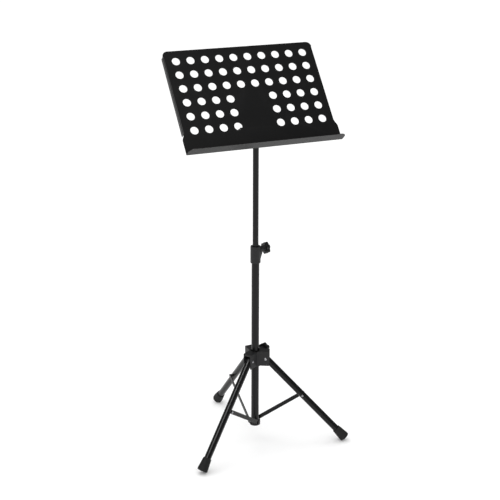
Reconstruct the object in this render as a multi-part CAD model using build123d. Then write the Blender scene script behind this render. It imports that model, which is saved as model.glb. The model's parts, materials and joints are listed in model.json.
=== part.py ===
from build123d import *
import os
from math import asin, cos, degrees, isclose, radians, sin, sqrt

os.makedirs("parts", exist_ok=True)

# A folding music stand with a perforated steel desk on a telescopic mast and a three-legged base.
# Millimetres, +Z up. The reader stands at -Y and looks towards +Y.

# ---- legs ----
leg_azimuth = -27.3          # first leg, degrees from +X towards +Y; the others follow at 120 degrees
leg_spread = 43.4            # angle of an opened leg from the vertical
leg_length = 367.0           # hub pivot to the end face of the foot
leg_tube_dia = 21.0
leg_tube_wall = 1.5
leg_shoulder = 6.0           # tube starts this far below the hub pivot
leg_pivot_radius = 33.0      # hub pivot's distance from the mast axis
leg_names = ["right", "back", "left"]

insert_plug_length = 28.0    # plastic top end's plug inside the tube

foot_length = 40.0
foot_top_wall = 2.25         # rubber round the leg tube at the foot's top
foot_end_wall = 5.5          # the same at its end
foot_straight = 9.0          # length of the straight band at the end
foot_floor = 8.0             # rubber below the tube's end
foot_lip = 1.5               # rounding of the end's rim
foot_top_edge = 0.8
foot_hollow_radius = 8.0
foot_hollow_depth = 3.0

# ---- struts ----
strut_pivot_along_leg = 170.0
strut_inner_radius = 5.0     # inner pivot's distance from the mast axis, along the leg's direction
strut_inner_height = 58.0    # inner pivot above the floor with the legs open
strut_web = 1.25             # metal above and below the widest hole
strut_thickness = 2.5
strut_edge = 0.5
side_gap = 0.3               # gap between moving neighbours
pin_gap = 0.08               # radial play of a running pin
linkage_stray = 1.9          # farthest that the fold carries the mast off the hub's axis
stray_margin = 0.1           # spare gap beside what strays
spacer_dia = 11.0
spacer_bite = 4.0            # spacer starts this far inside the leg's surface

# ---- rivets ----
pivot_rivet_dia = 6.0
pivot_head_dia = 8.0
strut_rivet_dia = 5.0
strut_head_dia = 7.0
inner_rivet_dia = 4.0
head_height = 1.8
saddle_lift = 1.0            # strut rivet's near head reaches this far inside the tube's surface
inner_rivet_root = 7.0       # inner rivets start this far from the mast axis

# ---- mast ----
lower_tube_dia = 24.0
lower_tube_wall = 1.5
bush_wall = 1.5              # room between the two tubes, for the bushes
upper_tube_wall = 1.2
lower_tube_length = 573.0
upper_tube_length = 582.2
mast_extension = 355.2       # top of the lower tube to the top of the upper tube, as set
guide_bush_length = 30.0
guide_bush_rise = 3.0        # guide bush above the upper tube's end
guide_bush_edge = 0.8
ring_wall = 0.9              # rings that keep the guide bush in place
ring_length = 2.5

# ---- bottom collar ----
base_flange_overhang = 4.75  # flange outside the tube
base_flange_height = 3.5
base_gap = 1.5               # between the flange and the end of a strut
base_collar_wall = 1.0       # collar wall outside the tube at the strut flats
base_collar_height = 14.0
base_collar_edge = 1.2
base_floor = 1.0             # collar below the tube's end

# ---- hub ----
hub_sleeve_wall = 3.6
hub_roof = 6.0
hub_cheek = 3.5
hub_cheek_gap = 0.5
hub_ear_radius = 45.0
hub_above_pivot = 25.0
hub_below_pivot = 22.0
hub_sleeve_extra = 3.0       # sleeve stands lower than the ears by this
hub_channel_bite = 4.0       # leg channels start this far inside the sleeve's surface
hub_ear_corner = 3.0
hub_ear_edge = 2.0
hub_knob_height = 12.0       # knob axis above the leg pivots
hub_knob_reach = 41.0        # mast axis to the end of the boss
hub_pad_gap = 1.6            # pad stands off the tube, knob slack

# ---- mast collar ----
collar_wall = 3.7            # collar outside the lower tube
collar_height = 53.4
collar_low_edge = 2.0
collar_top_edge = 1.5
collar_play = 0.6            # collar's mouth round the upper tube
collar_above_tube = 22.0     # collar above the lower tube's end
collar_knob_drop = 13.0      # knob axis below the collar's top
collar_knob_azimuth = 10.0
collar_knob_reach = 27.0
collar_screw_height = 8.0    # screw above the collar's lower end
collar_screw_dia = 3.2
collar_screw_head_dia = 5.8
collar_screw_bite = 1.4      # screw's length inside the lower tube's surface
screw_head_height = 1.4
screw_sink = 0.2             # screw's head below the collar's surface
screw_slot_width = 0.8
screw_slot_depth = 0.8
screw_slot_length = 4.2
gusset_root = 10.0           # gusset starts this far from the mast axis
gusset_inset = 6.0           # gusset's ends from the collar's lower end and the knob axis
gusset_setback = 2.0         # gusset's top corner behind the boss's end
bush_flange = 2.5
bush_length = 22.0
slide_gap = 0.1              # radial play of a sliding fit

# ---- clamp knobs ----
knob_dia = 37.0
knob_lobes = 6
knob_lobe_dia = 9.6
knob_thickness = 12.0
knob_neck_dia = 17.0
knob_neck_length = 4.0
knob_edge = 1.6
knob_valley = 0.6            # head's disc outside the circle of the lobes' centres
knob_valley_round = 2.0
knob_recess_dia = 13.0
knob_recess_depth = 1.2
stud_dia = 8.0
stud_play = 0.08
stud_insert = 9.0            # length of stud moulded into the knob
pad_length = 5.0
pad_contact = 0.1
pad_root_share = 0.8         # pad's rough blank starts at this share of the tube's radius
stud_tip_edge = 0.8
boss_dia = 19.0
boss_root = 8.0              # bosses start this far from the mast axis
boss_edge = 0.8
gusset_thickness = 6.0

# ---- tilt head ----
tilt_axis_above_tube = 18.0  # tilt axis above the upper tube's end
tilt_eye_dia = 30.0
tilt_eye_width = 30.0
head_socket_wall = 3.5
head_socket_length = 22.0
head_socket_edge = 1.5
head_crown = 4.0             # socket above the upper tube's end
head_neck_width = 22.0
head_neck_depth = 20.0
tilt_eye_edge = 1.0
head_pin_dia = 3.0
head_pin_sink = 0.3          # pin's ends below the socket's surface
washer_thickness = 1.2
friction_washer_dia = 22.0
tilt_washer_thickness = 1.5
tilt_washer_dia = 22.0
tilt_knob_neck = 15.5
tilt_insert_dia = 12.0       # threaded insert in the tilt knob
tilt_knob_cap = 3.0          # plastic over the insert's end
bolt_tip_inset = 4.0         # bolt's tip below the tilt knob's face
bolt_dia = 8.0
bolt_head_dia = 15.0
bolt_head_height = 5.0

# ---- desk ----
desk_tilt = 39.85            # angle of the plate from the vertical
desk_width = 477.0
desk_height = 333.0
desk_sheet = 1.5
desk_corner = 16.0
flange_depth = 15.0
bend_radius = 3.0
bend_play = 0.1              # crease's fillet falls short of the bend radius by this
shelf_overhang = 6.5         # shelf beyond the plate on each side
shelf_depth = 37.5
shelf_corner = 18.0
shoulder_low = 43.5          # height above the shelf where the plate starts to narrow
shoulder_high = 64.0
hole_dia = 24.5
hole_columns = 10
hole_rows = 6
hole_top_margin = 34.8       # top edge to the first row of holes
hole_low_margin = 73.2       # shelf to the last row
hole_side_margin = 36.0      # side edge to the outer columns
blank_columns = 2            # columns left solid in the lower rows, for the bracket
blank_rows = 3
axis_setback = 41.0          # tilt axis behind the plate's front face
axis_above_shelf = 68.0      # tilt axis above the shelf, along the plate

# ---- bracket ----
bracket_sheet = 2.5
bracket_width = 84.0
bracket_low = 42.0           # bracket's lower edge above the shelf, along the plate
bracket_high = 140.0
cheek_root_low = 46.0
cheek_root_high = 112.0
cheek_nose_dia = 28.0
bracket_corner = 6.0
rivet_inset = 10.0
bracket_rivet_dia = 5.0
bracket_head_height = 2.2

# ---- cutters ----
same_place = 0.01            # two points nearer than this are taken as one
cut_over = 1.0               # a cutter runs past what it cuts by this
cut_length = 200.0           # length of a cutter that only has to be long enough

# ---- derived places ----
spread = radians(leg_spread)
foot_top_dia = leg_tube_dia + 2 * foot_top_wall
foot_end_dia = leg_tube_dia + 2 * foot_end_wall
upper_tube_dia = lower_tube_dia - 2 * (lower_tube_wall + bush_wall)
collar_dia = lower_tube_dia + 2 * collar_wall
base_flange_dia = lower_tube_dia + 2 * base_flange_overhang
head_socket_dia = upper_tube_dia + 2 * head_socket_wall
shelf_width = desk_width + 2 * shelf_overhang
column_pitch = (desk_width - 2 * hole_side_margin) / (hole_columns - 1)
row_pitch = (desk_height - hole_top_margin - hole_low_margin) / (hole_rows - 1)
wide_hole_radius = inner_rivet_dia / 2 + 1.5 * (linkage_stray + stray_margin)
strut_height = 2 * (wide_hole_radius + strut_web)
rim = foot_end_dia / 2 - foot_lip
pivot_height = (leg_length - foot_lip) * cos(spread) + rim * sin(spread) + foot_lip
tube_radius = leg_tube_dia / 2
strut_side = lower_tube_dia / 2 + base_collar_wall + linkage_stray + stray_margin
strut_outer_radius = leg_pivot_radius + strut_pivot_along_leg * sin(spread)
strut_outer_height = pivot_height - strut_pivot_along_leg * cos(spread)
strut_length = sqrt((strut_outer_radius - strut_inner_radius) ** 2
                    + (strut_outer_height - strut_inner_height) ** 2)
strut_lean = degrees(asin((strut_outer_radius - strut_inner_radius) / strut_length))
base_flange_top = strut_inner_height - strut_height / 2 - base_gap
lower_tube_bottom = base_flange_top - base_floor
lower_tube_top = lower_tube_bottom + lower_tube_length
collar_top = lower_tube_top + collar_above_tube
collar_bottom = collar_top - collar_height
collar_knob_z = collar_top - collar_knob_drop
upper_tube_top = lower_tube_top + mast_extension
upper_tube_bottom = upper_tube_top - upper_tube_length
hub_top = pivot_height + hub_above_pivot
hub_bottom = pivot_height - hub_below_pivot
hub_knob_azimuth = leg_azimuth + 60
hub_knob_z = pivot_height + hub_knob_height
hub_bore_radius = lower_tube_dia / 2 + linkage_stray + side_gap
hub_sleeve_radius = hub_bore_radius + hub_sleeve_wall
hub_inner_half = tube_radius + hub_cheek_gap
hub_outer_half = hub_inner_half + hub_cheek
tilt_axis_height = upper_tube_top + tilt_axis_above_tube
cheek_inside = tilt_eye_width / 2 + side_gap + washer_thickness
cheek_outside = cheek_inside + bracket_sheet
lean = radians(desk_tilt)
fold_y = -axis_above_shelf * sin(lean) - axis_setback * cos(lean)
fold_z = tilt_axis_height - axis_above_shelf * cos(lean) + axis_setback * sin(lean)
desk_plane = Plane(origin=(0, fold_y, fold_z), x_dir=(1, 0, 0), z_dir=(0, -cos(lean), sin(lean)))
bush_bottom = upper_tube_bottom + guide_bush_rise
collar_screw_tip = lower_tube_dia / 2 - collar_screw_bite


def about_x(solid, x, y, z):
    """Turn a solid built along +Z so that it runs along +X from the given point."""
    return Pos(x, y, z) * Rot(0, 90, 0) * solid


def about_y(solid, x, y, z):
    """Turn a solid built along +Z so that it runs along +Y from the given point."""
    return Pos(x, y, z) * Rot(-90, 0, 0) * solid


def rod(radius, length, start=0.0):
    """Cylinder along +Z from the given start."""
    return Pos(0, 0, start) * Cylinder(radius, length, align=(Align.CENTER, Align.CENTER, Align.MIN))


def tube(outer, inner, length, start=0.0):
    """Hollow cylinder along +Z from the given start."""
    return rod(outer, length, start) - rod(inner, length + 2 * cut_over, start - cut_over)


def dome(radius, height, start=0.0):
    """Low domed rivet head that rises along +Z from the given start."""
    ball = (radius ** 2 + height ** 2) / (2 * height)
    return rod(radius, height, start) & Pos(0, 0, start + height - ball) * Sphere(ball)


def slot_plate(length, height, thickness, lean_angle):
    """Flat bar with round ends in the XZ plane, from the origin down and inwards."""
    outline = SlotCenterToCenter(length, height)
    bar = extrude(outline, thickness)
    bar = fillet(bar.edges().group_by(Axis.Z)[0] + bar.edges().group_by(Axis.Z)[-1], strut_edge)
    bar = Pos(length / 2, 0, 0) * bar
    return Rot(0, 90 + lean_angle, 0) * Rot(-90, 0, 0) * bar


# ---- clamp knobs, built along +Z with the housing below ----
def knob_body(neck_length, bore_radius, bore_depth):
    """Star knob: neck from z = 0, then the lobed head, with a bore for its stud or insert."""
    lobe_circle = knob_dia / 2 - knob_lobe_dia / 2
    outline = Circle(lobe_circle + knob_valley)
    for spot in PolarLocations(lobe_circle, knob_lobes):
        outline += spot * Circle(knob_lobe_dia / 2)
    outline = fillet(outline.vertices(), knob_valley_round)
    head = extrude(outline, knob_thickness)
    rims = head.edges().group_by(Axis.Z)[0] + head.edges().group_by(Axis.Z)[-1]
    head = fillet(rims, knob_edge)
    body = Pos(0, 0, neck_length) * head + rod(knob_neck_dia / 2, neck_length + cut_over)
    face = neck_length + knob_thickness
    body -= rod(knob_recess_dia / 2, knob_recess_depth + cut_over, face - knob_recess_depth)
    return body - rod(bore_radius, bore_depth + cut_over, -cut_over)


def clamp_frame(azimuth, height):
    """Place for a clamp screw: local +Z points outwards, away from the mast."""
    return Rot(0, 0, azimuth) * Pos(0, 0, height) * Rot(0, 90, 0)


def clamp_pad(tube_radius_held, gap, tip):
    """Plastic pad with a hollow face that bears on the tube."""
    root = tube_radius_held * pad_root_share
    pad = rod(stud_dia / 2 - stud_play, tip - root, root)
    return pad - Rot(0, 90, 0) * Cylinder(tube_radius_held + gap, cut_length)


def clamp_stud(tip, reach):
    """Threaded stud from the pad to inside the knob, drawn at its mean diameter."""
    stud = rod(stud_dia / 2 - stud_play, reach + stud_insert - tip - pad_contact, tip + pad_contact)
    return chamfer(stud.edges().group_by(Axis.Z)[0], stud_tip_edge)


def clamp_knob(reach):
    """Star knob that turns just outside its boss."""
    body = knob_body(knob_neck_length, stud_dia / 2 - stud_play, stud_insert - side_gap)
    return Pos(0, 0, reach + side_gap) * body


# ---- base ----
def hub_body():
    """Cast hub: sleeve round the mast, three channels for the legs and a clamp boss."""
    low = hub_bottom - hub_sleeve_extra
    body = rod(hub_sleeve_radius, hub_top - low, low)
    channels = []
    for index in range(3):
        turn = Rot(0, 0, leg_azimuth + 120 * index)
        ear = Box(hub_ear_radius, 2 * hub_outer_half, hub_top - hub_bottom,
                  align=(Align.MIN, Align.CENTER, Align.MIN))
        ear = fillet(ear.edges().filter_by(Axis.Z).group_by(Axis.X)[-1], hub_ear_corner)
        top = ear.edges().group_by(Axis.Z)[-1].sort_by(Axis.X)[1:]
        ear = fillet(top, hub_ear_edge)
        body += turn * Pos(0, 0, hub_bottom) * ear
        channel = Box(cut_length, 2 * hub_inner_half, cut_length, align=(Align.MIN, Align.CENTER, Align.MAX))
        channels.append(turn * Pos(hub_sleeve_radius - hub_channel_bite, 0, hub_top - hub_roof) * channel)
    boss = rod(boss_dia / 2, hub_knob_reach - boss_root, boss_root)
    body += clamp_frame(hub_knob_azimuth, hub_knob_z) * boss
    for channel in channels:
        body -= channel
    body += tube(hub_sleeve_radius, hub_bore_radius, hub_top - low, low)
    body -= rod(hub_bore_radius, cut_length, low - cut_over)
    body -= clamp_frame(hub_knob_azimuth, hub_knob_z) * rod(stud_dia / 2, cut_length)
    for index in range(3):
        hole = about_y(Cylinder(pivot_rivet_dia / 2, 4 * hub_outer_half), leg_pivot_radius, 0, pivot_height)
        body -= Rot(0, 0, leg_azimuth + 120 * index) * hole
    return body


def leg_pivot_rivets():
    """Three rivets that carry the legs, each headed on both cheeks of its channel."""
    width = 2 * hub_outer_half
    rivet = rod(pivot_rivet_dia / 2, width)
    rivet += Pos(0, 0, width) * dome(pivot_head_dia / 2, head_height)
    rivet += Rot(180, 0, 0) * dome(pivot_head_dia / 2, head_height)
    rivet = about_y(rivet, leg_pivot_radius, -hub_outer_half, pivot_height)
    return Compound([Rot(0, 0, leg_azimuth + 120 * index) * rivet for index in range(3)])


def leg_place(index):
    """Place of a leg: origin at its hub pivot, -Z down the opened leg, +X outwards."""
    return (Rot(0, 0, leg_azimuth + 120 * index) * Pos(leg_pivot_radius, 0, pivot_height)
            * Rot(0, -leg_spread, 0))


def leg_tube():
    """Round leg tube with the cross hole for the strut's rivet."""
    length = leg_length - foot_floor - leg_shoulder
    body = tube(tube_radius, tube_radius - leg_tube_wall, length, -leg_shoulder - length)
    hole = about_y(Cylinder(strut_rivet_dia / 2, cut_length), 0, 0, -strut_pivot_along_leg)
    return body - hole


def leg_insert():
    """Plastic top end of a leg: plug in the tube, round head and pivot hole."""
    plug = rod(tube_radius - leg_tube_wall, insert_plug_length, -leg_shoulder - insert_plug_length)
    head = rod(tube_radius, leg_shoulder, -leg_shoulder) + Sphere(tube_radius)
    hole = about_y(Cylinder(pivot_rivet_dia / 2 + pin_gap, cut_length), 0, 0, 0)
    return plug + head - hole


def leg_foot():
    """Conical rubber foot with a hollow end, pushed onto the leg tube."""
    top = -leg_length + foot_length
    outline = Polyline((0, -leg_length), (foot_end_dia / 2, -leg_length),
                       (foot_end_dia / 2, -leg_length + foot_straight), (foot_top_dia / 2, top), (0, top),
                       (0, -leg_length))
    body = revolve(Plane.XZ * make_face(outline), Axis.Z)
    body = fillet(body.edges().group_by(Axis.Z)[0], foot_lip)
    body = fillet(body.edges().group_by(Axis.Z)[-1], foot_top_edge)
    body -= rod(tube_radius, foot_length, -leg_length + foot_floor)
    return body - rod(foot_hollow_radius, foot_hollow_depth, -leg_length)


def strut_spacer():
    """Round boss that stands the strut off the leg tube, hollowed to sit on it."""
    length = strut_side - side_gap - tube_radius + spacer_bite
    boss = tube(spacer_dia / 2, strut_rivet_dia / 2, length)
    boss = about_y(boss, 0, tube_radius - spacer_bite, -strut_pivot_along_leg)
    return boss - rod(tube_radius, 4 * spacer_dia, -strut_pivot_along_leg - 2 * spacer_dia)


def strut_rivet():
    """Rivet through a leg and the outer end of its strut, headed at both ends."""
    far = strut_side + strut_thickness + side_gap
    rivet = rod(strut_rivet_dia / 2, far + tube_radius, -tube_radius)
    rivet += Pos(0, 0, far) * dome(strut_head_dia / 2, head_height)
    saddle = dome(strut_head_dia / 2, head_height + saddle_lift, tube_radius - saddle_lift)
    rivet += Rot(180, 0, 0) * saddle - Rot(90, 0, 0) * Cylinder(tube_radius, cut_length)
    return about_y(rivet, 0, 0, -strut_pivot_along_leg)


def strut_bar(index):
    """Flat strut from a leg down to the bottom collar.

    The first strut carries the mast on a close pin. The others have wide inner holes,
    which take up the small stray of a linkage with constant ratios.
    """
    bar = slot_plate(strut_length, strut_height, strut_thickness, strut_lean)
    inner_hole = inner_rivet_dia / 2 + pin_gap if index == 0 else wide_hole_radius
    outer_hole = strut_rivet_dia / 2 + pin_gap
    bar -= about_y(Cylinder(outer_hole, 4 * strut_thickness), 0, 0, 0)
    inner_x = strut_inner_radius - strut_outer_radius
    inner_z = strut_inner_height - strut_outer_height
    bar -= about_y(Cylinder(inner_hole, 4 * strut_thickness), inner_x, 0, inner_z)
    place = Rot(0, 0, leg_azimuth + 120 * index) * Pos(strut_outer_radius, strut_side, strut_outer_height)
    return place * bar


# ---- lower mast ----
def lower_tube():
    """Lower mast tube with the holes for the inner strut rivets."""
    body = tube(lower_tube_dia / 2, lower_tube_dia / 2 - lower_tube_wall, lower_tube_length,
                lower_tube_bottom)
    for index in range(3):
        hole = about_y(rod(inner_rivet_dia / 2, lower_tube_dia), strut_inner_radius, 0, strut_inner_height)
        body -= Rot(0, 0, leg_azimuth + 120 * index) * hole
    return body - screw_frame() * rod(collar_screw_dia / 2, cut_length)


def bottom_collar():
    """Collar closing the tube's lower end, with a flange and three flats for the struts."""
    radius = base_flange_dia / 2
    body = rod(radius, base_collar_height, base_flange_top - base_flange_height)
    side = lower_tube_dia / 2 + base_collar_wall
    for index in range(3):
        flat = Box(cut_length, cut_length, cut_length, align=(Align.CENTER, Align.MIN, Align.MIN))
        body -= Rot(0, 0, leg_azimuth + 120 * index) * Pos(0, side, base_flange_top) * flat
    body = fillet(body.edges().group_by(Axis.Z)[0], base_collar_edge)
    body -= rod(lower_tube_dia / 2, cut_length, lower_tube_bottom)
    for index in range(3):
        hole = about_y(rod(inner_rivet_dia / 2, lower_tube_dia), strut_inner_radius, 0, strut_inner_height)
        body -= Rot(0, 0, leg_azimuth + 120 * index) * hole
    return body


def strut_inner_rivets():
    """Three rivets in the bottom collar that carry the struts' inner ends."""
    rivets = []
    for index in range(3):
        stray = side_gap if index == 0 else linkage_stray
        far = strut_side + strut_thickness + stray
        rivet = rod(inner_rivet_dia / 2, far - inner_rivet_root, inner_rivet_root)
        head_dia = strut_head_dia if index == 0 else 2 * inner_rivet_dia + 3 * linkage_stray
        rivet += Pos(0, 0, far) * dome(min(head_dia, strut_height) / 2, head_height)
        rivet = about_y(rivet, strut_inner_radius, 0, strut_inner_height)
        rivets.append(Rot(0, 0, leg_azimuth + 120 * index) * rivet)
    return Compound(rivets)


def mast_collar():
    """Moulded clamp collar on the lower tube, with a knob boss and the gusset under it."""
    radius = collar_dia / 2
    body = rod(radius, collar_height, collar_bottom)
    body = fillet(body.edges().group_by(Axis.Z)[0], collar_low_edge)
    body = fillet(body.edges().group_by(Axis.Z)[-1], collar_top_edge)
    place = clamp_frame(collar_knob_azimuth, collar_knob_z)
    boss = rod(boss_dia / 2, collar_knob_reach - boss_root, boss_root)
    body += place * chamfer(boss.edges().group_by(Axis.Z)[-1], boss_edge)
    low = collar_bottom + gusset_inset
    high = collar_knob_z - gusset_inset
    tip = collar_knob_reach - gusset_setback
    outline = make_face(Polyline((gusset_root, low), (radius, low), (tip, high), (gusset_root, high),
                                 (gusset_root, low)))
    web = extrude(Plane.XZ * outline, gusset_thickness / 2, both=True)
    body += Rot(0, 0, collar_knob_azimuth) * web
    seat = lower_tube_top + bush_flange
    body -= rod(lower_tube_dia / 2, seat - collar_bottom + cut_over, collar_bottom - cut_over)
    body -= rod(upper_tube_dia / 2 + collar_play, cut_length, seat - cut_over)
    body -= place * rod(stud_dia / 2, cut_length)
    body -= screw_frame() * rod(collar_screw_dia / 2, cut_length)
    sink = radius - screw_head_height - screw_sink
    return body - screw_frame() * rod(collar_screw_head_dia / 2 + slide_gap, cut_length, sink)


def screw_frame():
    """Place of the collar's screw: local +Z points outwards, opposite the knob."""
    return clamp_frame(collar_knob_azimuth + 180, collar_bottom + collar_screw_height)


def collar_screw():
    """Small screw that holds the collar to the lower tube, sunk in the back."""
    seat = collar_dia / 2 - screw_head_height - screw_sink
    body = rod(collar_screw_dia / 2, seat - collar_screw_tip, collar_screw_tip)
    body += rod(collar_screw_head_dia / 2, screw_head_height, seat)
    slot = Box(screw_slot_width, screw_slot_length, 2 * screw_slot_depth)
    body -= Pos(0, 0, seat + screw_head_height) * slot
    return screw_frame() * body


def collar_bush():
    """Nylon bush seated in the end of the lower tube, which guides the upper tube."""
    bore = upper_tube_dia / 2 + slide_gap
    body = tube(lower_tube_dia / 2 - lower_tube_wall, bore, bush_length, lower_tube_top - bush_length)
    return body + tube(lower_tube_dia / 2, bore, bush_flange, lower_tube_top)


# ---- upper mast ----
def guide_bush():
    """Nylon bush at the foot of the upper tube, which slides in the lower tube."""
    outer = lower_tube_dia / 2 - lower_tube_wall - slide_gap
    body = rod(outer, guide_bush_length, bush_bottom)
    body = fillet(body.edges(), guide_bush_edge)
    return body - rod(upper_tube_dia / 2 + slide_gap, cut_length, bush_bottom - cut_over)


def bush_rings():
    """Two steel rings pressed on the upper tube, which keep the guide bush in place."""
    outer = upper_tube_dia / 2 + ring_wall
    lower = tube(outer, upper_tube_dia / 2, ring_length, bush_bottom - side_gap - ring_length)
    upper = tube(outer, upper_tube_dia / 2, ring_length, bush_bottom + guide_bush_length + side_gap)
    return Compound([lower, upper])


def upper_tube():
    """Upper mast tube."""
    return tube(upper_tube_dia / 2, upper_tube_dia / 2 - upper_tube_wall, upper_tube_length,
                upper_tube_bottom)


def tilt_head():
    """Cast head: socket on the upper tube and the eye that the desk tilts on."""
    socket_bottom = upper_tube_top - head_socket_length
    socket = rod(head_socket_dia / 2, head_socket_length + head_crown, socket_bottom)
    socket = fillet(socket.edges().group_by(Axis.Z)[0], head_socket_edge)
    neck_height = tilt_axis_height - upper_tube_top
    neck = Box(head_neck_width, head_neck_depth, neck_height, align=(Align.CENTER, Align.CENTER, Align.MIN))
    neck = Pos(0, 0, upper_tube_top + cut_over) * neck
    eye = about_x(Cylinder(tilt_eye_dia / 2, tilt_eye_width), 0, 0, tilt_axis_height)
    eye = chamfer(eye.edges(), tilt_eye_edge)
    body = socket + neck + eye
    body -= rod(upper_tube_dia / 2, head_socket_length + cut_over, socket_bottom - cut_over)
    return body - about_x(Cylinder(bolt_dia / 2 + pin_gap, 2 * tilt_eye_width), 0, 0, tilt_axis_height)


def head_pin():
    """Spring pin across the socket, which keeps the head on the upper tube."""
    z = upper_tube_top - head_socket_length / 2
    reach = head_socket_dia / 2 - head_pin_sink
    return about_x(rod(head_pin_dia / 2, 2 * reach), -reach, 0, z)


# ---- desk ----
def hole_centres():
    """Centres of the round holes in the plate's own plane, x across and y up from the shelf."""
    solid_from = (hole_columns - blank_columns) // 2
    top = desk_height - hole_top_margin
    for row in range(hole_rows):
        for column in range(hole_columns):
            blank = solid_from <= column < solid_from + blank_columns
            if blank and row >= hole_rows - blank_rows:
                continue
            yield ((column - (hole_columns - 1) / 2) * column_pitch, top - row * row_pitch)


def plate_outline():
    """Plate's outline: round top corners and a soft shoulder out to the shelf's width."""
    half = desk_width / 2
    wide = shelf_width / 2
    right = [
        Line((0, desk_height), (half - desk_corner, desk_height)),
        RadiusArc((half - desk_corner, desk_height), (half, desk_height - desk_corner), desk_corner),
        Line((half, desk_height - desk_corner), (half, shoulder_high)),
        Spline((half, shoulder_high), (wide, shoulder_low), tangents=((0, -1), (0, -1))),
        Line((wide, shoulder_low), (wide, -desk_sheet)),
        Line((wide, -desk_sheet), (0, -desk_sheet)),
    ]
    left = [edge.mirror(Plane.YZ) for edge in right]
    return make_face(right + left)


def desk_plate():
    """Pressed steel desk: perforated plate, turned-back sides and the shelf, in one sheet."""
    half = desk_width / 2
    sheet = extrude(plate_outline(), -desk_sheet)
    low = shoulder_high
    high = desk_height - desk_corner
    depth = flange_depth + desk_sheet
    outer = Pos(0, low, 0) * Box(2 * half, high - low, depth, align=(Align.CENTER, Align.MIN, Align.MAX))
    outer = fillet(outer.edges().filter_by(Axis.Y).group_by(Axis.Z)[-1], bend_radius)
    inner = Pos(0, low - 1, -desk_sheet) * Box(2 * (half - desk_sheet), high - low + 2, depth,
                                               align=(Align.CENTER, Align.MIN, Align.MAX))
    inner = fillet(inner.edges().filter_by(Axis.Y).group_by(Axis.Z)[-1], bend_radius - desk_sheet)
    middle = Box(4 * half, high - low, 4 * depth, align=(Align.CENTER, Align.MIN, Align.CENTER))
    sheet = (sheet - Pos(0, low, 0) * middle) + (outer - inner)
    shelf = Pos(0, 0, shelf_depth / 2 - desk_sheet) * Box(
        shelf_width, desk_sheet, shelf_depth + desk_sheet, align=(Align.CENTER, Align.MAX, Align.CENTER))
    front = shelf.edges().filter_by(Axis.Y).group_by(Axis.Z)[-1]
    shelf = fillet(front, shelf_corner)
    shelf = Pos(0, 0, desk_sheet / 2) * shelf
    sheet += shelf
    crease = [edge for edge in sheet.edges().filter_by(Axis.X)
              if isclose(edge.center().Y, -desk_sheet, abs_tol=same_place)
              and isclose(edge.center().Z, -desk_sheet, abs_tol=same_place)]
    sheet = fillet(crease, bend_radius - bend_play)
    holes = [Pos(x, y, 0) * Circle(hole_dia / 2) for x, y in hole_centres()]
    sheet -= extrude(Sketch() + holes, 4 * desk_sheet, both=True)
    for x, y in rivet_places():
        sheet -= Pos(x, y, 0) * Cylinder(bracket_rivet_dia / 2, 8 * desk_sheet)
    return desk_plane * sheet


def rivet_places():
    """Places of the bracket's four rivets on the plate."""
    x = bracket_width / 2 - rivet_inset
    for side in (-1, 1):
        for y in (bracket_low + rivet_inset, bracket_high - rivet_inset):
            yield (side * x, y)


def desk_bracket():
    """Folded bracket behind the plate, with two cheeks that straddle the tilt head."""
    back = -desk_sheet - bracket_sheet
    width = bracket_width
    base = Pos(0, (bracket_low + bracket_high) / 2, -desk_sheet - bracket_sheet / 2) * Box(
        width, bracket_high - bracket_low, bracket_sheet)
    base = fillet(base.edges().filter_by(Axis.Z), bracket_corner)
    root = Line((cheek_root_low, back), (cheek_root_high, back))
    nose = Pos(axis_above_shelf, -axis_setback) * Edge.make_circle(cheek_nose_dia / 2)
    outline = make_hull([root, nose])
    body = base
    for side in (-1, 1):
        cheek = extrude(outline, bracket_sheet)
        cheek = Plane(origin=(0, 0, 0), x_dir=(0, 1, 0), z_dir=(1, 0, 0)) * cheek
        start = cheek_inside if side > 0 else -cheek_outside
        body += Pos(start, 0, 0) * cheek
    body -= Pos(0, axis_above_shelf, -axis_setback) * Rot(0, 90, 0) * Cylinder(bolt_dia / 2, cut_length)
    for x, y in rivet_places():
        body -= Pos(x, y, 0) * Cylinder(bracket_rivet_dia / 2, 4 * axis_setback)
    return desk_plane * body


def bracket_rivets():
    """Four rivets that join bracket and plate, flush on the reader's side."""
    grip = desk_sheet + bracket_sheet
    rivet = rod(bracket_rivet_dia / 2, grip, -grip)
    rivet += Pos(0, 0, -grip) * Rot(180, 0, 0) * dome(bracket_rivet_dia, bracket_head_height)
    return Compound([desk_plane * Pos(x, y, 0) * rivet for x, y in rivet_places()])


def friction_washers():
    """Two fibre washers between the head's eye and the bracket's cheeks."""
    washer = tube(friction_washer_dia / 2, bolt_dia / 2, washer_thickness)
    start = cheek_inside - washer_thickness
    return Compound([about_x(washer, start, 0, tilt_axis_height),
                     about_x(washer, -cheek_inside, 0, tilt_axis_height)])


def tilt_bolt():
    """Bolt that the desk tilts on, with a round head on the right-hand cheek."""
    tip = cheek_outside + tilt_washer_thickness + tilt_knob_neck + knob_thickness - bolt_tip_inset
    shank = rod(bolt_dia / 2, tip + cheek_outside, -tip)
    head = dome(bolt_head_dia / 2, bolt_head_height, cheek_outside)
    return about_x(shank + head, 0, 0, tilt_axis_height)


def tilt_frame():
    """Place for the tilt knob: local +Z points to the reader's left, away from the bracket."""
    return Pos(-cheek_outside, 0, tilt_axis_height) * Rot(0, -90, 0)


def tilt_washer():
    """Steel washer under the tilt knob."""
    washer = tube(tilt_washer_dia / 2, bolt_dia / 2 + pin_gap, tilt_washer_thickness, pad_contact)
    return tilt_frame() * washer


def tilt_knob():
    """Star knob that tightens the desk's tilt."""
    body = knob_body(tilt_knob_neck, tilt_insert_dia / 2, tilt_knob_neck + knob_thickness - tilt_knob_cap)
    return tilt_frame() * Pos(0, 0, tilt_washer_thickness + 2 * pad_contact) * body


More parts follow.
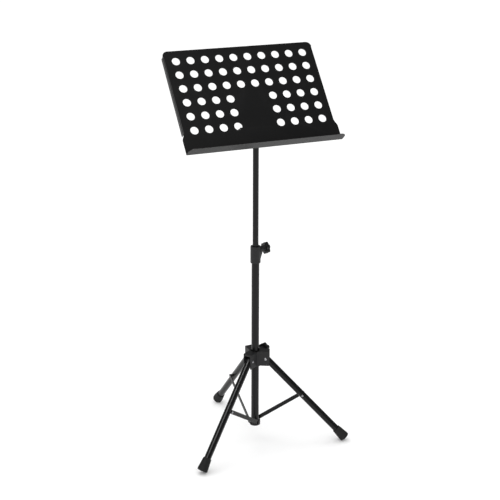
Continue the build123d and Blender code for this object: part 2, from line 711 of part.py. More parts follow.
def tilt_knob_insert():
    """Threaded insert moulded into the tilt knob, drawn at its mean diameter."""
    length = tilt_knob_neck + knob_thickness - tilt_knob_cap
    body = tube(tilt_insert_dia / 2, bolt_dia / 2 + pin_gap, length)
    return tilt_frame() * Pos(0, 0, tilt_washer_thickness + 2 * pad_contact) * body


def build_all():
    """Build every node in the mast's frame and return them by name."""
    nodes = {"hub_body": hub_body(), "leg_pivot_rivets": leg_pivot_rivets()}
    for index, name in enumerate(leg_names):
        place = leg_place(index)
        nodes[f"leg_{name}_tube"] = place * leg_tube()
        nodes[f"leg_{name}_insert"] = place * leg_insert()
        nodes[f"leg_{name}_foot"] = place * leg_foot()
        nodes[f"leg_{name}_spacer"] = place * strut_spacer()
        nodes[f"leg_{name}_rivet"] = place * strut_rivet()
        nodes[f"strut_{name}"] = strut_bar(index)
    nodes["lower_tube"] = lower_tube()
    nodes["bottom_collar"] = bottom_collar()
    nodes["strut_inner_rivets"] = strut_inner_rivets()
    nodes["mast_collar"] = mast_collar()
    nodes["collar_screw"] = collar_screw()
    nodes["collar_bush"] = collar_bush()
    nodes["guide_bush"] = guide_bush()
    nodes["bush_rings"] = bush_rings()
    nodes["upper_tube"] = upper_tube()
    pin = head_pin()
    nodes["upper_tube"] -= pin
    nodes["tilt_head"] = tilt_head() - pin
    nodes["head_pin"] = pin
    hub = clamp_frame(hub_knob_azimuth, hub_knob_z)
    hub_tip = lower_tube_dia / 2 + hub_pad_gap + pad_length
    nodes["hub_pad"] = hub * clamp_pad(lower_tube_dia / 2, hub_pad_gap, hub_tip)
    nodes["hub_stud"] = hub * clamp_stud(hub_tip, hub_knob_reach)
    nodes["hub_knob"] = hub * clamp_knob(hub_knob_reach)
    collar = clamp_frame(collar_knob_azimuth, collar_knob_z)
    collar_tip = upper_tube_dia / 2 + pad_length
    nodes["collar_pad"] = collar * clamp_pad(upper_tube_dia / 2, pad_contact, collar_tip)
    nodes["collar_stud"] = collar * clamp_stud(collar_tip, collar_knob_reach)
    nodes["collar_knob"] = collar * clamp_knob(collar_knob_reach)
    nodes["desk_plate"] = desk_plate()
    nodes["desk_bracket"] = desk_bracket()
    nodes["bracket_rivets"] = bracket_rivets()
    nodes["friction_washers"] = friction_washers()
    nodes["tilt_bolt"] = tilt_bolt()
    nodes["tilt_washer"] = tilt_washer()
    nodes["tilt_knob"] = tilt_knob()
    nodes["tilt_knob_insert"] = tilt_knob_insert()
    return nodes


def footprint_shift(nodes):
    """Move that puts the middle of the whole stand's footprint on the origin."""
    box = Compound(children=[Compound([shape]) for shape in nodes.values()]).bounding_box()
    return (-(box.min.X + box.max.X) / 2, -(box.min.Y + box.max.Y) / 2, 0)


def main():
    """Build the stand and write one STEP file for each node."""
    nodes = build_all()
    shift = footprint_shift(nodes)
    for name, shape in nodes.items():
        export_step(Pos(*shift) * shape, f"parts/{name}.step")
    return nodes, shift


nodes, origin_shift = main()
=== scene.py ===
"""A folding music stand: finishes, detailed pieces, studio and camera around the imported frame."""

from __future__ import annotations

import json
import logging
import math
from dataclasses import dataclass, field
from enum import Enum
from typing import Callable

import bmesh
import bpy
from mathutils import Matrix, Vector


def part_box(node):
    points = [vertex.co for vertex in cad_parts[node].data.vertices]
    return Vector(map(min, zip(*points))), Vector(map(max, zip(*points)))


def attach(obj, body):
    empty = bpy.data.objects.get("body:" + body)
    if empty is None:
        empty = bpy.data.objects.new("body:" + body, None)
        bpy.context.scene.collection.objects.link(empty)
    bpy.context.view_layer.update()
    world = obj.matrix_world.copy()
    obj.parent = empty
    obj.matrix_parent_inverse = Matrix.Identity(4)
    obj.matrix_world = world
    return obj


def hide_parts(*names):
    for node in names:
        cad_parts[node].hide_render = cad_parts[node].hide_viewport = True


LOG = logging.getLogger("music_stand")
SAME_LEVEL = 1e-5          # heights nearer than this count as one level
NEAR_AXIS = 0.002          # how near its axis a middle face's centre lies
SAME_REACH = 5e-7          # distances from an axis nearer than this count as equal
LEGS = ("right", "back", "left")
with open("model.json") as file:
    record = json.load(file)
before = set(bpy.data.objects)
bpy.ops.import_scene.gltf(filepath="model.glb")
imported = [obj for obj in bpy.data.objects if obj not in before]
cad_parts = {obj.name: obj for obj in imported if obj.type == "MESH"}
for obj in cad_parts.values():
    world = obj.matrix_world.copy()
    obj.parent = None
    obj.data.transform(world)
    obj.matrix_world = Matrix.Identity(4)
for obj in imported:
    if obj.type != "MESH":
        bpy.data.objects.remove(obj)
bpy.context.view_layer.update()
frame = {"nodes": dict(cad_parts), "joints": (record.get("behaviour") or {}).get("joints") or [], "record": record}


class Slot(Enum):
    """Material slots of the stand's record."""

    DESK = "desk_paint"
    TUBE = "tube_paint"
    MOULDED = "moulded_black"
    KNOB = "knob_black"
    FOOT = "foot_rubber"
    STEEL = "bright_steel"
    NYLON = "nylon"
    CAST = "black_cast"
    BLACKENED = "blackened_steel"


class Pick(Enum):
    """What an edit-mode selection takes."""

    VERTS = "VERT"
    FACES = "FACE"


# ---------------------------------------------------------------- editing helpers
def deselect_all() -> None:
    """Deselect every object, in object mode."""
    if bpy.context.object and bpy.context.object.mode != "OBJECT":
        bpy.ops.object.mode_set(mode="OBJECT")
    bpy.ops.object.select_all(action="DESELECT")


def take(piece: bpy.types.Object) -> None:
    """Make one object the only selected and active one.

    Args:
        piece: The object to work on.
    """
    deselect_all()
    piece.select_set(True)
    bpy.context.view_layer.objects.active = piece


def pick(piece: bpy.types.Object, kind: Pick, test: Callable[[Vector], bool]) -> None:
    """Select what passes a test on its centre, in edit mode.

    Args:
        piece: The object in edit mode.
        kind: Vertices or faces.
        test: Takes an element's centre and says whether it is wanted.
    """
    bpy.ops.mesh.select_mode(type=kind.value)
    bpy.ops.mesh.select_all(action="DESELECT")
    mesh = bmesh.from_edit_mesh(piece.data)
    if kind is Pick.VERTS:
        for vert in mesh.verts:
            if test(vert.co):
                vert.select_set(True)
    else:
        for face in mesh.faces:
            if test(face.calc_center_median()):
                face.select_set(True)
    mesh.select_flush_mode()
    bmesh.update_edit_mesh(piece.data)


def pick_middle(piece: bpy.types.Object, level: float) -> None:
    """Select the face that crosses a piece's own Z axis at a level, in edit mode.

    Args:
        piece: The object in edit mode.
        level: The face's height.
    """
    pick(piece, Pick.FACES, lambda co: abs(co.z - level) < SAME_LEVEL and math.hypot(co.x, co.y) < NEAR_AXIS)


def extrude_along(rise: float) -> None:
    """Extrude what is selected along Z.

    Args:
        rise: How far, upwards when positive.
    """
    bpy.ops.mesh.extrude_region_move(TRANSFORM_OT_translate={"value": (0, 0, rise)})


def scale_across(factor: float) -> None:
    """Scale what is selected about the Z axis, at its own height.

    Args:
        factor: The scale across the axis.
    """
    bpy.ops.transform.resize(value=(factor, factor, 1), center_override=(0, 0, 0))


def apply_modifiers(piece: bpy.types.Object) -> None:
    """Apply every modifier of a piece in order.

    Args:
        piece: The object whose modifiers are applied.
    """
    take(piece)
    for modifier in list(piece.modifiers):
        bpy.ops.object.modifier_apply(modifier=modifier.name)


def round_edges(piece: bpy.types.Object, width: float, segments: int, limit: float) -> None:
    """Round a piece's edges with an applied bevel.

    Args:
        piece: The object, in object mode.
        width: The bevel's width.
        segments: How many faces it has across.
        limit: Edges that turn by more than this many degrees are rounded.
    """
    rounding = piece.modifiers.new("rounding", "BEVEL")
    rounding.width = width
    rounding.segments = segments
    rounding.limit_method = "ANGLE"
    rounding.angle_limit = math.radians(limit)
    apply_modifiers(piece)


def settle(piece: bpy.types.Object, place: Matrix, angle: float) -> None:
    """Move a piece into its place, put that place into the mesh and shade it.

    Args:
        piece: The finished object.
        place: Matrix from the piece's own frame to the stand's frame.
        angle: Faces that meet at less than this many degrees are shaded smooth.
    """
    take(piece)
    piece.data.transform(place)
    bpy.ops.object.shade_smooth_by_angle(angle=math.radians(angle))


def outward_frame(origin: Vector, axis: Vector) -> Matrix:
    """Frame whose +Z runs along an axis.

    Args:
        origin: The frame's origin.
        axis: Direction of its +Z.

    Returns:
        The matrix from that frame to the stand's frame.
    """
    return Matrix.Translation(origin) @ axis.normalized().to_track_quat("Z", "Y").to_matrix().to_4x4()


def joint(name: str) -> dict:
    """Find a joint of the frame.

    Args:
        name: The joint's name.

    Returns:
        The joint's entry in the record.
    """
    return next(entry for entry in frame["joints"] if entry["name"] == name)


# ---------------------------------------------------------------- shared node groups
def add_socket(tree: bpy.types.NodeTree, name: str, side: str, kind: str,
               value: float | tuple[float, ...] | None = None) -> None:
    """Add a named socket to a node group.

    Args:
        tree: The node group.
        name: The socket's name.
        side: INPUT or OUTPUT.
        kind: The socket's type.
        value: Its default value.
    """
    socket = tree.interface.new_socket(name=name, in_out=side, socket_type=kind)
    if value is not None:
        socket.default_value = value


@dataclass
class SurfaceGroups:
    """Node groups that several finishes share."""

    fine_detail: float = 3.0
    fine_roughness: float = 0.6
    grain_depth: float = 0.0002
    broad_scale: float = 14.0
    broad_detail: float = 4.0
    noise_middle: float = 0.5
    edge_range: tuple[float, float] = (0.52, 0.62)
    patch_scale: float = 60.0
    patch_detail: float = 5.0
    film_scale: float = 7.0
    film_detail: float = 6.0
    film_range: tuple[float, float] = (0.42, 0.75)
    texture: bpy.types.NodeTree = field(init=False)
    handling: bpy.types.NodeTree = field(init=False)

    def __post_init__(self) -> None:
        """Build both groups once."""
        self.texture = self.build_texture()
        self.handling = self.build_handling()

    def build_texture(self) -> bpy.types.NodeTree:
        """Fine surface texture of paint or mould: a normal and a roughness that vary.

        Returns:
            The node group.
        """
        tree = bpy.data.node_groups.new("fine_texture", "ShaderNodeTree")
        add_socket(tree, "Grain Scale", "INPUT", "NodeSocketFloat", 900.0)
        add_socket(tree, "Grain Height", "INPUT", "NodeSocketFloat", 0.2)
        add_socket(tree, "Roughness", "INPUT", "NodeSocketFloat", 0.4)
        add_socket(tree, "Spread", "INPUT", "NodeSocketFloat", 0.1)
        add_socket(tree, "Roughness", "OUTPUT", "NodeSocketFloat")
        add_socket(tree, "Normal", "OUTPUT", "NodeSocketVector")
        nodes, link = tree.nodes, tree.links.new
        entry, leave = nodes.new("NodeGroupInput"), nodes.new("NodeGroupOutput")
        place = nodes.new("ShaderNodeTexCoord")
        fine = nodes.new("ShaderNodeTexNoise")
        fine.inputs["Detail"].default_value = self.fine_detail
        fine.inputs["Roughness"].default_value = self.fine_roughness
        broad = nodes.new("ShaderNodeTexNoise")
        broad.inputs["Scale"].default_value = self.broad_scale
        broad.inputs["Detail"].default_value = self.broad_detail
        bump = nodes.new("ShaderNodeBump")
        bump.inputs["Distance"].default_value = self.grain_depth
        around = nodes.new("ShaderNodeMath")
        around.operation = "SUBTRACT"
        around.inputs[1].default_value = self.noise_middle
        swing = nodes.new("ShaderNodeMath")
        swing.operation = "MULTIPLY_ADD"
        link(place.outputs["Object"], fine.inputs["Vector"])
        link(place.outputs["Object"], broad.inputs["Vector"])
        link(entry.outputs["Grain Scale"], fine.inputs["Scale"])
        link(entry.outputs["Grain Height"], bump.inputs["Strength"])
        link(fine.outputs["Fac"], bump.inputs["Height"])
        link(broad.outputs["Fac"], around.inputs[0])
        link(around.outputs[0], swing.inputs[0])
        link(entry.outputs["Spread"], swing.inputs[1])
        link(entry.outputs["Roughness"], swing.inputs[2])
        link(swing.outputs[0], leave.inputs["Roughness"])
        link(bump.outputs["Normal"], leave.inputs["Normal"])
        return tree

    def build_handling(self) -> bpy.types.NodeTree:
        """Colour with soft dust and worn edges.

        Returns:
            The node group.
        """
        tree = bpy.data.node_groups.new("handling_marks", "ShaderNodeTree")
        add_socket(tree, "Base", "INPUT", "NodeSocketColor", (0.02, 0.02, 0.02, 1))
        add_socket(tree, "Worn", "INPUT", "NodeSocketColor", (0.06, 0.06, 0.06, 1))
        add_socket(tree, "Dust", "INPUT", "NodeSocketColor", (0.12, 0.12, 0.12, 1))
        add_socket(tree, "Wear", "INPUT", "NodeSocketFloat", 0.4)
        add_socket(tree, "Dust Amount", "INPUT", "NodeSocketFloat", 0.1)
        add_socket(tree, "Color", "OUTPUT", "NodeSocketColor")
        nodes, link = tree.nodes, tree.links.new
        entry, leave = nodes.new("NodeGroupInput"), nodes.new("NodeGroupOutput")
        shape = nodes.new("ShaderNodeNewGeometry")
        place = nodes.new("ShaderNodeTexCoord")
        edges = nodes.new("ShaderNodeMapRange")
        edges.inputs["From Min"].default_value, edges.inputs["From Max"].default_value = self.edge_range
        patches = nodes.new("ShaderNodeTexNoise")
        patches.inputs["Scale"].default_value = self.patch_scale
        patches.inputs["Detail"].default_value = self.patch_detail
        wear = nodes.new("ShaderNodeMath")
        wear.operation = "MULTIPLY"
        rubbed = nodes.new("ShaderNodeMath")
        rubbed.operation = "MULTIPLY"
        worn = nodes.new("ShaderNodeMix")
        worn.data_type = "RGBA"
        film = nodes.new("ShaderNodeTexNoise")
        film.inputs["Scale"].default_value = self.film_scale
        film.inputs["Detail"].default_value = self.film_detail
        clear = nodes.new("ShaderNodeMapRange")
        clear.inputs["From Min"].default_value, clear.inputs["From Max"].default_value = self.film_range
        amount = nodes.new("ShaderNodeMath")
        amount.operation = "MULTIPLY"
        dusted = nodes.new("ShaderNodeMix")
        dusted.data_type = "RGBA"
        link(shape.outputs["Pointiness"], edges.inputs["Value"])
        link(place.outputs["Object"], patches.inputs["Vector"])
        link(place.outputs["Object"], film.inputs["Vector"])
        link(edges.outputs["Result"], wear.inputs[0])
        link(patches.outputs["Fac"], wear.inputs[1])
        link(wear.outputs[0], rubbed.inputs[0])
        link(entry.outputs["Wear"], rubbed.inputs[1])
        link(rubbed.outputs[0], worn.inputs["Factor"])
        link(entry.outputs["Base"], worn.inputs["A"])
        link(entry.outputs["Worn"], worn.inputs["B"])
        link(film.outputs["Fac"], clear.inputs["Value"])
        link(clear.outputs["Result"], amount.inputs[0])
        link(entry.outputs["Dust Amount"], amount.inputs[1])
        link(amount.outputs[0], dusted.inputs["Factor"])
        link(worn.outputs["Result"], dusted.inputs["A"])
        link(entry.outputs["Dust"], dusted.inputs["B"])
        link(dusted.outputs["Result"], leave.inputs["Color"])
        return tree


# ---------------------------------------------------------------- finishes
@dataclass(frozen=True)
class Finish:
    """One finish: its colours, gloss and fine texture."""

    name: str
    base: tuple[float, float, float]
    worn: tuple[float, float, float]
    dust: tuple[float, float, float]
    roughness: float
    spread: float
    grain_scale: float
    grain_height: float
    wear: float = 0.3
    dust_amount: float = 0.1
    metallic: float = 0.0
    specular: float = 0.5

    def build(self, groups: SurfaceGroups) -> bpy.types.Material:
        """Make the finish's material.

        Args:
            groups: The shared node groups.

        Returns:
            The material.
        """
        material = bpy.data.materials.new(self.name)
        material.use_nodes = True
        tree = material.node_tree
        shader = tree.nodes["Principled BSDF"]
        texture = tree.nodes.new("ShaderNodeGroup")
        texture.node_tree = groups.texture
        texture.inputs["Grain Scale"].default_value = self.grain_scale
        texture.inputs["Grain Height"].default_value = self.grain_height
        texture.inputs["Roughness"].default_value = self.roughness
        texture.inputs["Spread"].default_value = self.spread
        marks = tree.nodes.new("ShaderNodeGroup")
        marks.node_tree = groups.handling
        marks.inputs["Base"].default_value = (*self.base, 1)
        marks.inputs["Worn"].default_value = (*self.worn, 1)
        marks.inputs["Dust"].default_value = (*self.dust, 1)
        marks.inputs["Wear"].default_value = self.wear
        marks.inputs["Dust Amount"].default_value = self.dust_amount
        shader.inputs["Metallic"].default_value = self.metallic
        shader.inputs["Specular IOR Level"].default_value = self.specular
        tree.links.new(marks.outputs["Color"], shader.inputs["Base Color"])
        tree.links.new(texture.outputs["Roughness"], shader.inputs["Roughness"])
        tree.links.new(texture.outputs["Normal"], shader.inputs["Normal"])
        return material


FINISHES: dict[Slot, Finish] = {
    Slot.DESK: Finish("satin_desk_paint", (0.0035, 0.0035, 0.0038), (0.016, 0.016, 0.016),
                      (0.011, 0.0105, 0.010),
                      roughness=0.42, spread=0.08, grain_scale=1500, grain_height=0.10, wear=0.25,
                      dust_amount=0.12, specular=0.3),
    Slot.TUBE: Finish("satin_tube_paint", (0.0025, 0.0025, 0.0027), (0.016, 0.016, 0.016),
                      (0.009, 0.0085, 0.008),
                      roughness=0.20, spread=0.06, grain_scale=1800, grain_height=0.08, wear=0.4,
                      dust_amount=0.10, specular=0.22),
    Slot.MOULDED: Finish("moulded_black_plastic", (0.008, 0.008, 0.009), (0.03, 0.03, 0.03),
                         (0.03, 0.03, 0.03),
                         roughness=0.52, spread=0.12, grain_scale=2600, grain_height=0.22, wear=0.35,
                         dust_amount=0.15, specular=0.35),
    Slot.KNOB: Finish("textured_knob_plastic", (0.004, 0.004, 0.0045), (0.02, 0.02, 0.02),
                      (0.014, 0.014, 0.014),
                      roughness=0.48, spread=0.10, grain_scale=3000, grain_height=0.25, wear=0.5,
                      dust_amount=0.10, specular=0.35),
    Slot.FOOT: Finish("matte_foot_rubber", (0.007, 0.007, 0.007), (0.02, 0.02, 0.02), (0.03, 0.029, 0.027),
                      roughness=0.74, spread=0.14, grain_scale=2200, grain_height=0.3, wear=0.5,
                      dust_amount=0.30, specular=0.3),
    Slot.STEEL: Finish("zinc_plated_steel", (0.42, 0.42, 0.44), (0.55, 0.55, 0.56), (0.25, 0.245, 0.23),
                       roughness=0.30, spread=0.16, grain_scale=1200, grain_height=0.10, wear=0.4,
                       dust_amount=0.10, metallic=1.0),
    Slot.NYLON: Finish("dark_nylon", (0.010, 0.010, 0.011), (0.03, 0.03, 0.03), (0.03, 0.03, 0.03),
                       roughness=0.46, spread=0.10, grain_scale=2600, grain_height=0.12, wear=0.3,
                       dust_amount=0.12, specular=0.25),
    Slot.CAST: Finish("painted_casting", (0.006, 0.006, 0.0065), (0.03, 0.03, 0.03), (0.02, 0.02, 0.02),
                      roughness=0.40, spread=0.12, grain_scale=900, grain_height=0.25, wear=0.4,
                      dust_amount=0.12, specular=0.4),
    Slot.BLACKENED: Finish("black_oxide_steel", (0.012, 0.012, 0.013), (0.05, 0.05, 0.05), (0.02, 0.02, 0.02),
                           roughness=0.38, spread=0.10, grain_scale=1200, grain_height=0.10, wear=0.4,
                           dust_amount=0.10, specular=0.4),
}


@dataclass
class Wardrobe:
    """Every finish's material, by slot."""

    groups: SurfaceGroups
    materials: dict[Slot, bpy.types.Material] = field(init=False)

    def __post_init__(self) -> None:
        """Build the materials once."""
        self.materials = {slot: finish.build(self.groups) for slot, finish in FINISHES.items()}

    def dress(self, piece: bpy.types.Object, slot: Slot) -> None:
        """Give a piece its finish, in place of what it has.

        Args:
            piece: A CAD node or a new piece.
            slot: The finish.
        """
        piece.data.materials.clear()
        piece.data.materials.append(self.materials[slot])

    def dress_frame(self) -> None:
        """Give every CAD node the finish that the record names for it."""
        for part in frame["record"]["subparts"]:
            self.dress(frame["nodes"][part["node"]], Slot(part["material_slot"]))


# ---------------------------------------------------------------- pieces
@dataclass
class StarKnob:
    """A moulded star knob with a recessed cap, which turns about its clamp screw."""

    name: str
    body: str
    joint_name: str
    node: str
    neck: float
    slot: Slot = Slot.KNOB
    lobes: int = 6
    lobe_steps: int = 12
    lobe_fullness: float = 0.6
    outer: float = 0.0185
    valley: float = 0.0148
    thickness: float = 0.012
    rim: float = 0.0016
    land: float = 0.0022
    neck_radius: float = 0.0085
    neck_flare: float = 0.001
    neck_taper: float = 0.9
    recess_radius: float = 0.0078
    recess_depth: float = 0.0014
    cap_gap: float = 0.0007
    cap_rise: float = 0.0009
    edge_round: float = 0.0011
    edge_segments: int = 4
    edge_limit: float = 40.0

    def lobe_factor(self, angle: float) -> float:
        """Share of the outer radius at an angle round the knob.

        Args:
            angle: Angle in radians from a lobe's middle.

        Returns:
            The factor, from the valley's share to 1.
        """
        deep = self.valley / self.outer
        wave = 0.5 + 0.5 * math.cos(self.lobes * angle)
        return deep + (1 - deep) * wave ** self.lobe_fullness

    def build(self) -> bpy.types.Object:
        """Model the knob round its own axis and set it on the clamp screw.

        Returns:
            The finished knob.
        """
        count = self.lobes * self.lobe_steps
        turn = 2 * math.pi / count
        deselect_all()
        bpy.ops.mesh.primitive_cylinder_add(vertices=count, radius=self.outer, depth=self.thickness,
                                            location=(0, 0, self.neck + self.thickness / 2))
        piece = bpy.context.object
        piece.name = self.name
        bpy.ops.object.transform_apply(location=True, rotation=True, scale=True)
        bpy.ops.object.mode_set(mode="EDIT")
        for step in range(1, self.lobe_steps):
            pick(piece, Pick.VERTS,
                 lambda co, step=step: round(math.atan2(co.x, co.y) / turn) % self.lobe_steps == step)
            scale_across(self.lobe_factor(step * turn))
        for level in (self.neck, self.neck + self.thickness):
            pick_middle(piece, level)
            bpy.ops.mesh.inset(thickness=self.rim, depth=0.0)
        self.shape_neck(piece)
        self.shape_cap(piece)
        bpy.ops.object.mode_set(mode="OBJECT")
        round_edges(piece, self.edge_round, self.edge_segments, self.edge_limit)
        origin = Vector(joint(self.joint_name)["pos_m"])
        axis = Vector(joint(self.joint_name)["axis"])
        settle(piece, outward_frame(self.seat(origin, axis), axis), self.edge_limit)
        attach(piece, self.body)
        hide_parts(self.node)
        return piece

    def seat(self, origin: Vector, axis: Vector) -> Vector:
        """Find where the knob starts along its axis, from the CAD knob's box.

        Args:
            origin: A point on the axis.
            axis: The axis, outwards.

        Returns:
            The start of the neck.
        """
        mesh = frame["nodes"][self.node].data
        near = min((vert.co - origin).dot(axis) for vert in mesh.vertices)
        return origin + axis * near

    def shape_neck(self, piece: bpy.types.Object) -> None:
        """Draw the round neck out of the knob's inner face.

        Args:
            piece: The knob in edit mode.
        """
        pick_middle(piece, self.neck)
        bpy.ops.mesh.inset(thickness=self.land, depth=0.0)
        self.make_round(piece, self.neck_radius + self.neck_flare, self.neck)
        extrude_along(-self.neck)
        scale_across(self.neck_taper)

    def shape_cap(self, piece: bpy.types.Object) -> None:
        """Sink a round recess with a low cap into the knob's outer face.

        Args:
            piece: The knob in edit mode.
        """
        high = self.neck + self.thickness
        pick_middle(piece, high)
        bpy.ops.mesh.inset(thickness=self.land, depth=0.0)
        self.make_round(piece, self.recess_radius, high)
        extrude_along(-self.recess_depth)
        bpy.ops.mesh.inset(thickness=self.cap_gap, depth=0.0)
        extrude_along(self.cap_rise)

    @staticmethod
    def make_round(piece: bpy.types.Object, radius: float, level: float) -> None:
        """Bring the selected middle face's star outline to a circle and leave that face selected.

        Args:
            piece: The knob in edit mode, with the face selected.
            radius: The circle's radius.
            level: Height of that face.
        """
        outline = [vert.co for vert in bmesh.from_edit_mesh(piece.data).verts if vert.select]
        reaches: list[float] = []
        for reach in sorted(math.hypot(co.x, co.y) for co in outline):
            if not reaches or reach - reaches[-1] > SAME_REACH:
                reaches.append(reach)
        for reach in reaches:
            pick(piece, Pick.VERTS, lambda co, reach=reach: abs(co.z - level) < SAME_LEVEL
                 and abs(math.hypot(co.x, co.y) - reach) <= SAME_REACH)
            scale_across(radius / reach)
        pick_middle(piece, level)


@dataclass
class RubberFoot:
    """A conical rubber foot with grip rings, a hollow end and a socket for the leg."""

    leg: str
    spread: float = math.radians(43.4)
    reach: float = 0.367
    length: float = 0.040
    top_radius: float = 0.01275
    end_radius: float = 0.016
    tube_radius: float = 0.0105
    hollow_radius: float = 0.0095
    hollow_depth: float = 0.003
    straight: float = 0.009
    groove_start: float = 0.0155
    groove_pitch: float = 0.005
    groove_width: float = 0.001
    groove_count: int = 3
    groove_share: float = 0.975
    web: float = 0.008
    sides: int = 64
    slot: Slot = Slot.FOOT
    edge_round: float = 0.0010
    edge_segments: int = 4
    edge_limit: float = 50.0
    smooth_limit: float = 40.0

    def place(self) -> Matrix:
        """Frame of the foot: origin at the hub pivot, -Z down the leg.

        Returns:
            The matrix from the leg's frame to the stand's frame.
        """
        pivot = Vector(joint(f"fold_{self.leg}")["pos_m"])
        low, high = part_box("lower_tube")
        azimuth = math.atan2(pivot.y - (low.y + high.y) / 2, pivot.x - (low.x + high.x) / 2)
        turn = Matrix.Rotation(azimuth, 4, "Z") @ Matrix.Rotation(-self.spread, 4, "Y")
        return Matrix.Translation(pivot) @ turn

    def build(self) -> bpy.types.Object:
        """Model the foot down its leg's axis.

        Returns:
            The finished foot.
        """
        deselect_all()
        end = -self.reach
        bpy.ops.mesh.primitive_cylinder_add(vertices=self.sides, radius=self.end_radius, depth=self.length,
                                            location=(0, 0, end + self.length / 2))
        piece = bpy.context.object
        piece.name = f"rubber_foot_{self.leg}"
        bpy.ops.object.transform_apply(location=True, rotation=True, scale=True)
        bpy.ops.object.mode_set(mode="EDIT")
        grooves = [self.groove_start + self.groove_pitch * ring for ring in range(self.groove_count)]
        levels = [self.straight] + [groove + side for groove in grooves for side in (0.0, self.groove_width)]
        for level in levels:
            bpy.ops.mesh.select_all(action="SELECT")
            bpy.ops.mesh.bisect(plane_co=(0, 0, end + level), plane_no=(0, 0, 1))
        taper = self.top_radius / self.end_radius
        for level in levels[1:] + [self.length]:
            share = (level - self.straight) / (self.length - self.straight)
            factor = 1 + (taper - 1) * share
            pick(piece, Pick.VERTS, lambda co, level=level: abs(co.z - end - level) < SAME_LEVEL)
            scale_across(factor * (self.groove_share if level in grooves else 1.0))
        pick_middle(piece, end)
        bpy.ops.mesh.inset(thickness=self.end_radius - self.hollow_radius, depth=0.0)
        extrude_along(self.hollow_depth)
        pick_middle(piece, end + self.length)
        bpy.ops.mesh.inset(thickness=self.top_radius - self.tube_radius, depth=0.0)
        extrude_along(self.web - self.length)
        bpy.ops.object.mode_set(mode="OBJECT")
        round_edges(piece, self.edge_round, self.edge_segments, self.edge_limit)
        settle(piece, self.place(), self.smooth_limit)
        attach(piece, f"leg_{self.leg}")
        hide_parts(f"leg_{self.leg}_foot")
        return piece


@dataclass
class SoftenedNode:
    """A detailed stand-in for a CAD node: the same shape with small rounded edges."""

    node: str
    name: str
    body: str
    slot: Slot
    width: float = 0.0004
    segments: int = 2
    limit: float = 32.0
    merge_distance: float = 1e-6
    flat_limit: float = 0.5
    smooth_limit: float = 30.0
    face_weight: int = 80

    def build(self) -> bpy.types.Object:
        """Copy the node, merge its triangles, clear its flat faces and round its edges.

        Returns:
            The finished piece.
        """
        source = frame["nodes"][self.node]
        mesh = source.data.copy()
        piece = bpy.data.objects.new(self.name, mesh)
        bpy.context.scene.collection.objects.link(piece)
        take(piece)
        bpy.ops.object.mode_set(mode="EDIT")
        bpy.ops.mesh.select_all(action="SELECT")
        bpy.ops.mesh.remove_doubles(threshold=self.merge_distance)
        bpy.ops.mesh.customdata_custom_splitnormals_clear()
        bpy.ops.mesh.dissolve_limited(angle_limit=math.radians(self.flat_limit))
        bpy.ops.object.mode_set(mode="OBJECT")
        round_edges(piece, self.width, self.segments, self.limit)
        bpy.ops.object.shade_smooth_by_angle(angle=math.radians(self.smooth_limit))
        level = piece.modifiers.new("flat_faces", "WEIGHTED_NORMAL")
        level.keep_sharp = True
        level.weight = self.face_weight
        apply_modifiers(piece)
        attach(piece, self.body)
        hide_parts(self.node)
        return piece


# ---------------------------------------------------------------- studio
@dataclass(frozen=True)
class SoftLight:
    """One rectangular soft light."""

    name: str
    power: float
    size: tuple[float, float]
    spot: tuple[float, float, float]
    aim: tuple[float, float, float]
    gloss_only: bool = False

    def hang(self) -> bpy.types.Object:
        """Hang the light at its spot, facing its aim.

        Returns:
            The light.
        """
        data = bpy.data.lights.new(self.name, "AREA")
        data.shape = "RECTANGLE"
        data.size, data.size_y = self.size
        data.energy = self.power
        light = bpy.data.objects.new(self.name, data)
        bpy.context.scene.collection.objects.link(light)
        light.location = self.spot
        light.rotation_euler = (Vector(self.spot) - Vector(self.aim)).to_track_quat("Z", "Y").to_euler()
        light.visible_diffuse = not self.gloss_only
        return light


LIGHTS = (
    SoftLight("overhead", 30, (3.0, 3.0), (-0.6, 1.2, 4.2), (0, 0, 0.3)),
    SoftLight("left_strip", 40, (0.50, 1.2), (-1.25, -1.05, 2.45), (-0.12, -0.15, 0.15), gloss_only=True),
)


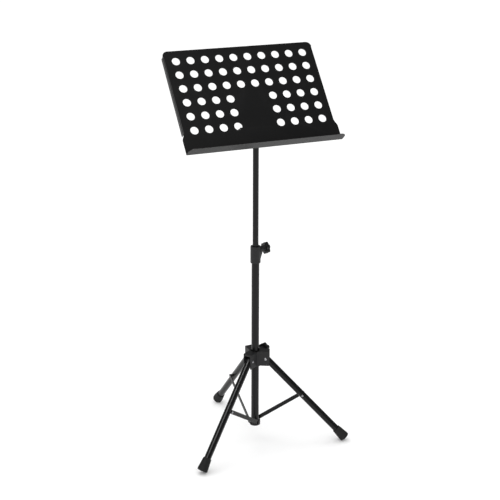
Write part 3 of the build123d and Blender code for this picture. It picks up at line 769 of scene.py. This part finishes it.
@dataclass
class Studio:
    """Pale floor, soft lights and the camera."""

    azimuth: float = math.radians(-23.385)
    elevation: float = math.radians(19.03)
    roll: float = math.radians(0.108)
    distance: float = 3.6763
    look_height: float = 0.6178
    look_back: float = 0.0421
    lens: float = 86.5
    sensor: float = 36.0
    view_end: float = 200.0
    floor_size: float = 60.0
    floor_albedo: float = 0.97
    floor_roughness: float = 0.9
    floor_specular: float = 0.1
    room_light: float = 1.12
    room_gloss: float = 0.2

    def mast(self) -> Vector:
        """Find the mast's axis on the floor.

        Returns:
            The point where it meets the floor.
        """
        low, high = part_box("lower_tube")
        return Vector(((low.x + high.x) / 2, (low.y + high.y) / 2, 0))

    def add_camera(self) -> bpy.types.Object:
        """Set the camera up and make it the scene's camera.

        Returns:
            The camera.
        """
        data = bpy.data.cameras.new("camera")
        data.lens = self.lens
        data.sensor_width = self.sensor
        data.clip_end = self.view_end
        camera = bpy.data.objects.new("camera", data)
        bpy.context.scene.collection.objects.link(camera)
        back = Vector((math.sin(self.azimuth) * math.cos(self.elevation),
                       -math.cos(self.azimuth) * math.cos(self.elevation), math.sin(self.elevation)))
        target = self.mast() + Vector((0, self.look_back, self.look_height))
        camera.location = target + back * self.distance
        turn = back.to_track_quat("Z", "Y").to_matrix() @ Matrix.Rotation(self.roll, 3, "Z")
        camera.rotation_euler = turn.to_euler()
        bpy.context.scene.camera = camera
        return camera

    def add_floor(self) -> bpy.types.Object:
        """Lay the pale floor.

        Returns:
            The floor.
        """
        deselect_all()
        bpy.ops.mesh.primitive_plane_add(size=self.floor_size, location=(0, 0, 0))
        floor = bpy.context.object
        floor.name = "floor"
        material = bpy.data.materials.new("pale_floor")
        material.use_nodes = True
        shader = material.node_tree.nodes["Principled BSDF"]
        shader.inputs["Base Color"].default_value = (*(self.floor_albedo,) * 3, 1)
        shader.inputs["Roughness"].default_value = self.floor_roughness
        shader.inputs["Specular IOR Level"].default_value = self.floor_specular
        floor.data.materials.append(material)
        return floor

    def add_world(self) -> None:
        """Fill the studio with even light, with a dimmer room in glossy reflections."""
        world = bpy.data.worlds.new("studio")
        world.use_nodes = True
        tree = world.node_tree
        background = tree.nodes["Background"]
        background.inputs["Color"].default_value = (1, 1, 1, 1)
        ray = tree.nodes.new("ShaderNodeLightPath")
        strength = tree.nodes.new("ShaderNodeMapRange")
        strength.inputs["To Min"].default_value = self.room_light
        strength.inputs["To Max"].default_value = self.room_gloss
        tree.links.new(ray.outputs["Is Glossy Ray"], strength.inputs["Value"])
        tree.links.new(strength.outputs["Result"], background.inputs["Strength"])
        bpy.context.scene.world = world
        bpy.context.scene.view_settings.view_transform = "Standard"

    def build(self) -> None:
        """Build the whole studio."""
        self.add_camera()
        self.add_floor()
        self.add_world()
        for light in LIGHTS:
            light.hang()


def main() -> None:
    """Dress the frame, build the detailed pieces and set up the studio."""
    logging.basicConfig(level=logging.INFO, format="%(message)s")
    Studio().build()
    wardrobe = Wardrobe(SurfaceGroups())
    wardrobe.dress_frame()
    makers: list[StarKnob | RubberFoot | SoftenedNode] = [
        StarKnob("collar_star_knob", "collar_clamp_knob", "collar_knob_turn", "collar_knob", neck=0.004),
        StarKnob("hub_star_knob", "hub_clamp_knob", "hub_knob_turn", "hub_knob", neck=0.004),
        StarKnob("tilt_star_knob", "tilt_clamp_knob", "tilt_knob_turn", "tilt_knob", neck=0.017),
        *(RubberFoot(leg) for leg in LEGS),
        SoftenedNode("desk_plate", "perforated_desk", "desk", Slot.DESK, width=0.00045),
        SoftenedNode("desk_bracket", "folded_bracket", "desk", Slot.DESK, width=0.0005),
        SoftenedNode("hub_body", "cast_hub", "hub", Slot.MOULDED, width=0.0006),
        SoftenedNode("mast_collar", "clamp_collar", "lower_mast", Slot.MOULDED, width=0.0006),
        SoftenedNode("bottom_collar", "end_collar", "lower_mast", Slot.MOULDED, width=0.0005),
        SoftenedNode("tilt_head", "cast_tilt_head", "upper_mast", Slot.CAST, width=0.0006),
    ]
    for maker in makers:
        piece = maker.build()
        wardrobe.dress(piece, maker.slot)
        LOG.info("%s: %d faces", piece.name, len(piece.data.polygons))


if __name__ == "__main__":
    main()
